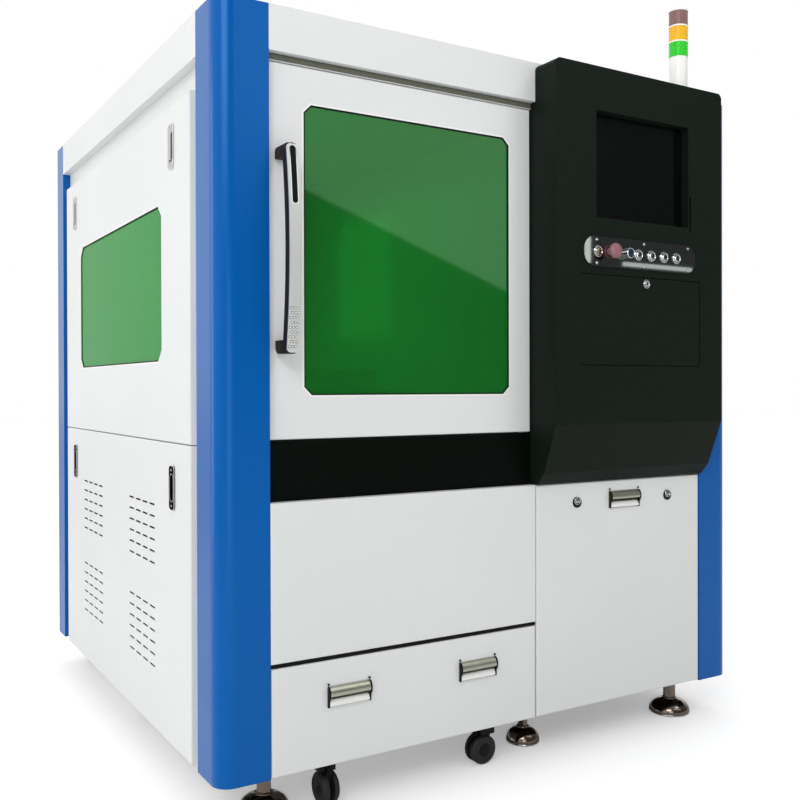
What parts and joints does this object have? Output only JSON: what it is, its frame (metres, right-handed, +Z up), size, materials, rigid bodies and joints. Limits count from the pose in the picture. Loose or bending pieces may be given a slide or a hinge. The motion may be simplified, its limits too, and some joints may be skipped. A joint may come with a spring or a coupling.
{
  "type": "fiber laser cutting machine",
  "caption": "Enclosed fiber laser cutting machine with green viewing windows, a hinged front door, a raised control console, a scrap drawer, levelling feet and casters.",
  "frame": {"origin": "middle of the footprint at floor level, under the levelling pads", "axes": "+Z up, -Y towards the operator at the front door and console, +X to the operator's right"},
  "size_m": [1.651, 1.8408, 2.083],
  "materials": {
    "frame_paint": "satin",
    "blue_paint": "satin powder coat",
    "white_paint": "satin powder coat",
    "black_texture": "fine textured powder coat",
    "black_band": "satin powder coat",
    "screen": "gloss",
    "polished": "dark mirror polish",
    "chrome": "polished",
    "stop_red": "gloss",
    "green_acrylic": "gloss",
    "green_port": "gloss",
    "black_plastic": "matt",
    "silver_face": "brushed",
    "zinc": "zinc plated",
    "white_plastic": "satin",
    "lens_green": "frosted",
    "lens_amber": "frosted",
    "lens_red": "frosted",
    "foot_steel": "plated",
    "tyre_black": "matt",
    "caster_black": "satin",
    "machined_alu": "anodised",
    "slat_steel": "mill finish",
    "source_grey": "satin",
    "board_beige": "satin",
    "keys": "matt"
  },
  "bodies": {
    "machine": {"chassis_frame": "frame_paint", "corner_posts": "blue_paint", "roof_cover": "white_paint", "wall_skins": "white_paint", "front_band": "black_band", "lower_front_panel": "white_paint", "console_housing": "black_texture", "monitor": "screen", "button_plate": "polished", "door_hinges": "zinc", "tower_base": "white_plastic", "tower_lens_green": "lens_green", "tower_lens_amber": "lens_amber", "tower_lens_red": "lens_red", "caster_mounts": "caster_black", "slat_bed": "slat_steel", "laser_source": "source_grey", "control_boards": "board_beige"},
    "power_button": {"power_button": "chrome"},
    "emergency_stop": {"emergency_stop": "stop_red"},
    "key_switch": {"key_switch": "black_plastic"},
    "push_button_1": {"push_button_1": "chrome"},
    "push_button_2": {"push_button_2": "chrome"},
    "push_button_3": {"push_button_3": "chrome"},
    "push_button_4": {"push_button_4": "chrome"},
    "keyboard_tray": {"keyboard_flap": "black_texture", "keyboard": "keys"},
    "flap_lock": {"flap_lock": "chrome"},
    "cabinet_door": {"cabinet_door": "white_paint", "cabinet_pull": "chrome"},
    "cabinet_lock_left": {"cabinet_lock_left": "chrome"},
    "cabinet_lock_right": {"cabinet_lock_right": "chrome"},
    "drawer": {"scrap_drawer": "white_paint", "drawer_pulls": "chrome"},
    "door": {"front_door": "white_paint", "door_window": "green_acrylic", "door_pull": "black_plastic", "door_pull_face": "silver_face"},
    "left_upper": {"left_upper_panel": "white_paint", "left_window": "green_port", "left_upper_pulls": "chrome"},
    "left_lower": {"left_lower_panel": "white_paint", "left_lower_pulls": "black_plastic"},
    "right_upper": {"right_upper_panel": "white_paint"},
    "right_lower": {"right_lower_panel": "white_paint"},
    "rear_cover": {"rear_panel": "white_paint"},
    "swivel_left": {"caster_fork_left": "caster_black"},
    "swivel_right": {"caster_fork_right": "caster_black"},
    "wheel_front_left": {"wheel_front_left": "tyre_black"},
    "wheel_front_right": {"wheel_front_right": "tyre_black"},
    "wheel_rear_left": {"wheel_rear_left": "tyre_black"},
    "wheel_rear_right": {"wheel_rear_right": "tyre_black"},
    "gantry": {"gantry_beam": "machined_alu"},
    "carriage": {"head_carriage": "machined_alu"},
    "head": {"cutting_head": "machined_alu"},
    "foot_front_left": {"foot_front_left": "foot_steel"},
    "foot_front_middle": {"foot_front_middle": "foot_steel"},
    "foot_front_right": {"foot_front_right": "foot_steel"},
    "foot_rear_left": {"foot_rear_left": "foot_steel"},
    "foot_rear_right": {"foot_rear_right": "foot_steel"}
  },
  "joints": [
    {"name": "door_hinge", "type": "hinge", "parent": "machine", "child": "door", "pos_m": [0.0365, -0.75915, 1.3], "axis": [0, 0, 1], "range_deg": [0, 90]},
    {"name": "drawer_slide", "type": "slide", "parent": "machine", "child": "drawer", "axis": [0, -1, 0], "range_m": [0, 0.7]},
    {"name": "cabinet_door_lift", "type": "slide", "parent": "machine", "child": "cabinet_door", "axis": [0, -1, 0], "range_m": [0, 0.06]},
    {"name": "cabinet_lock_left_turn", "type": "hinge", "parent": "cabinet_door", "child": "cabinet_lock_left", "pos_m": [0.21025, -0.78765, 0.6775], "axis": [0, 1, 0], "range_deg": [0, 90]},
    {"name": "cabinet_lock_right_turn", "type": "hinge", "parent": "cabinet_door", "child": "cabinet_lock_right", "pos_m": [0.55825, -0.78765, 0.6775], "axis": [0, -1, 0], "range_deg": [0, 90]},
    {"name": "keyboard_flap_hinge", "type": "hinge", "parent": "machine", "child": "keyboard_tray", "pos_m": [0.379, -0.86635, 1.057], "axis": [1, 0, 0], "range_deg": [0, 90]},
    {"name": "flap_lock_turn", "type": "hinge", "parent": "keyboard_tray", "child": "flap_lock", "pos_m": [0.3865, -0.87235, 1.275], "axis": [0, 1, 0], "range_deg": [0, 90]},
    {"name": "power_button_press", "type": "slide", "parent": "machine", "child": "power_button", "axis": [0, 1, 0], "range_m": [0, 0.003], "stiffness_N_per_m": 900},
    {"name": "emergency_stop_press", "type": "slide", "parent": "machine", "child": "emergency_stop", "axis": [0, 1, 0], "range_m": [0, 0.004]},
    {"name": "key_switch_turn", "type": "hinge", "parent": "machine", "child": "key_switch", "pos_m": [0.308, -0.87535, 1.353], "axis": [0, 1, 0], "range_deg": [0, 90]},
    {"name": "push_button_1_press", "type": "slide", "parent": "machine", "child": "push_button_1", "axis": [0, 1, 0], "range_m": [0, 0.003], "stiffness_N_per_m": 900},
    {"name": "push_button_2_press", "type": "slide", "parent": "machine", "child": "push_button_2", "axis": [0, 1, 0], "range_m": [0, 0.003], "stiffness_N_per_m": 900},
    {"name": "push_button_3_press", "type": "slide", "parent": "machine", "child": "push_button_3", "axis": [0, 1, 0], "range_m": [0, 0.003], "stiffness_N_per_m": 900},
    {"name": "push_button_4_press", "type": "slide", "parent": "machine", "child": "push_button_4", "axis": [0, 1, 0], "range_m": [0, 0.003], "stiffness_N_per_m": 900},
    {"name": "left_upper_lift_off", "type": "slide", "parent": "machine", "child": "left_upper", "axis": [-1, 0, 0], "range_m": [0, 0.06]},
    {"name": "left_lower_lift_off", "type": "slide", "parent": "machine", "child": "left_lower", "axis": [-1, 0, 0], "range_m": [0, 0.06]},
    {"name": "right_upper_lift_off", "type": "slide", "parent": "machine", "child": "right_upper", "axis": [1, 0, 0], "range_m": [0, 0.06]},
    {"name": "right_lower_lift_off", "type": "slide", "parent": "machine", "child": "right_lower", "axis": [1, 0, 0], "range_m": [0, 0.06]},
    {"name": "rear_cover_lift_off", "type": "slide", "parent": "machine", "child": "rear_cover", "axis": [0, 1, 0], "range_m": [0, 0.06]},
    {"name": "foot_front_left_turn", "type": "hinge", "parent": "machine", "child": "foot_front_left", "pos_m": [-0.673, -0.68965, 0.06], "axis": [0, 0, 1], "continuous": true},
    {"name": "foot_front_middle_turn", "type": "hinge", "parent": "machine", "child": "foot_front_middle", "pos_m": [0.121, -0.66265, 0.06], "axis": [0, 0, 1], "continuous": true},
    {"name": "foot_front_right_turn", "type": "hinge", "parent": "machine", "child": "foot_front_right", "pos_m": [0.66, -0.70165, 0.06], "axis": [0, 0, 1], "continuous": true},
    {"name": "foot_rear_left_turn", "type": "hinge", "parent": "machine", "child": "foot_rear_left", "pos_m": [-0.673, 0.76035, 0.06], "axis": [0, 0, 1], "continuous": true},
    {"name": "foot_rear_right_turn", "type": "hinge", "parent": "machine", "child": "foot_rear_right", "pos_m": [0.66, 0.77235, 0.06], "axis": [0, 0, 1], "continuous": true},
    {"name": "swivel_left_turn", "type": "hinge", "parent": "machine", "child": "swivel_left", "pos_m": [-0.531, -0.71965, 0.09], "axis": [0, 0, 1], "continuous": true},
    {"name": "swivel_right_turn", "type": "hinge", "parent": "machine", "child": "swivel_right", "pos_m": [-0.061, -0.72365, 0.09], "axis": [0, 0, 1], "continuous": true},
    {"name": "wheel_front_left_spin", "type": "hinge", "parent": "swivel_left", "child": "wheel_front_left", "pos_m": [-0.531, -0.72965, 0.04], "axis": [1, 0, 0], "continuous": true},
    {"name": "wheel_front_right_spin", "type": "hinge", "parent": "swivel_right", "child": "wheel_front_right", "pos_m": [-0.071, -0.72365, 0.04], "axis": [0, 1, 0], "continuous": true},
    {"name": "wheel_rear_left_spin", "type": "hinge", "parent": "machine", "child": "wheel_rear_left", "pos_m": [-0.531, 0.77035, 0.04], "axis": [1, 0, 0], "continuous": true},
    {"name": "wheel_rear_right_spin", "type": "hinge", "parent": "machine", "child": "wheel_rear_right", "pos_m": [0.531, 0.77035, 0.04], "axis": [1, 0, 0], "continuous": true},
    {"name": "gantry_travel", "type": "slide", "parent": "machine", "child": "gantry", "axis": [0, 1, 0], "range_m": [-0.55, 0.4]},
    {"name": "carriage_travel", "type": "slide", "parent": "gantry", "child": "carriage", "axis": [1, 0, 0], "range_m": [-0.3, 0.3]},
    {"name": "head_height", "type": "slide", "parent": "carriage", "child": "head", "axis": [0, 0, 1], "range_m": [-0.03, 0.06]}
  ]
}
